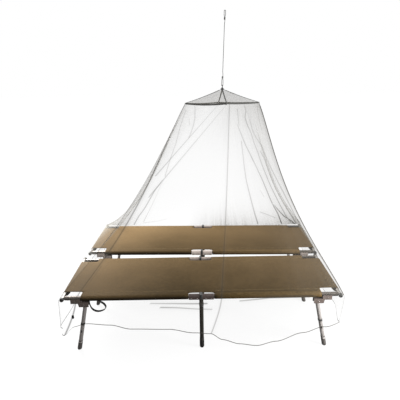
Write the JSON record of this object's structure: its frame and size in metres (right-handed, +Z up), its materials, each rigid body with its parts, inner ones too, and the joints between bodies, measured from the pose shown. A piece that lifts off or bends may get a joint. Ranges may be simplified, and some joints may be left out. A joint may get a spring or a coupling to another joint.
{
  "type": "mosquito net canopy over two camp beds",
  "caption": "Square-topped mosquito net canopy hung by a cord and draped over a pair of folding camp beds, its hem hanging unevenly round their legs.",
  "frame": {"origin": "on the floor, under the centre of the box round the canopy and beds, without the hanging cord", "axes": "+Z up; +X along the beds, to the right seen from the front; +Y from the near bed to the far bed"},
  "size_m": [1.9469, 1.4913, 2.272],
  "materials": {
    "aluminium": "satin drawn tube",
    "bracket_steel": "pressed and zinc plated",
    "cord": "grey braided cord",
    "deck_cloth": "olive-brown coated polyester canvas",
    "leg_tube": "dark grey satin anodised tube",
    "net": "fine white polyester mosquito net",
    "plastic": "moulded dark plastic",
    "rod_steel": "drawn rod",
    "roof_net": "denser pale grey net",
    "strap": "black webbing",
    "tape": "dark grey woven edging tape"
  },
  "bodies": {
    "root": {"apex_cap": "plastic", "cord_whipping_lower": "cord", "cord_whipping_upper": "cord", "edge_band_back_left": "tape", "edge_band_back_right": "tape", "edge_band_front_left": "tape", "edge_band_front_right": "tape", "far_bracket_back_left": "bracket_steel", "far_bracket_back_middle": "bracket_steel", "far_bracket_back_right": "bracket_steel", "far_bracket_front_left": "bracket_steel", "far_bracket_front_middle": "bracket_steel", "far_bracket_front_right": "bracket_steel", "far_deck": "deck_cloth", "far_end_bar_left": "aluminium", "far_end_bar_right": "aluminium", "far_leg_back_left": "leg_tube", "far_leg_back_middle": "leg_tube", "far_leg_back_right": "leg_tube", "far_leg_front_left": "leg_tube", "far_leg_front_middle": "leg_tube", "far_leg_front_right": "leg_tube", "far_rail_back": "aluminium", "far_rail_front": "aluminium", "hanging_cord": "cord", "near_bracket_back_left": "bracket_steel", "near_bracket_back_middle": "bracket_steel", "near_bracket_back_right": "bracket_steel", "near_bracket_front_left": "bracket_steel", "near_bracket_front_middle": "bracket_steel", "near_bracket_front_right": "bracket_steel", "near_deck": "deck_cloth", "near_end_bar_left": "aluminium", "near_end_bar_right": "aluminium", "near_leg_back_left": "leg_tube", "near_leg_back_middle": "leg_tube", "near_leg_back_right": "leg_tube", "near_leg_front_left": "leg_tube", "near_leg_front_middle": "leg_tube", "near_leg_front_right": "leg_tube", "near_rail_back": "aluminium", "near_rail_front": "aluminium", "near_strap": "strap", "ridge_tape_back": "tape", "ridge_tape_front": "tape", "ridge_tape_left": "tape", "ridge_tape_right": "tape", "roof_gore_back_left": "roof_net", "roof_gore_back_right": "roof_net", "roof_gore_front_left": "roof_net", "roof_gore_front_right": "roof_net", "spreader_hub": "plastic", "spreader_rod_across": "rod_steel", "spreader_rod_deep": "rod_steel", "wall_back_left": "net", "wall_back_right": "net", "wall_front_left": "net", "wall_front_right": "net"}
  },
  "joints": []
}
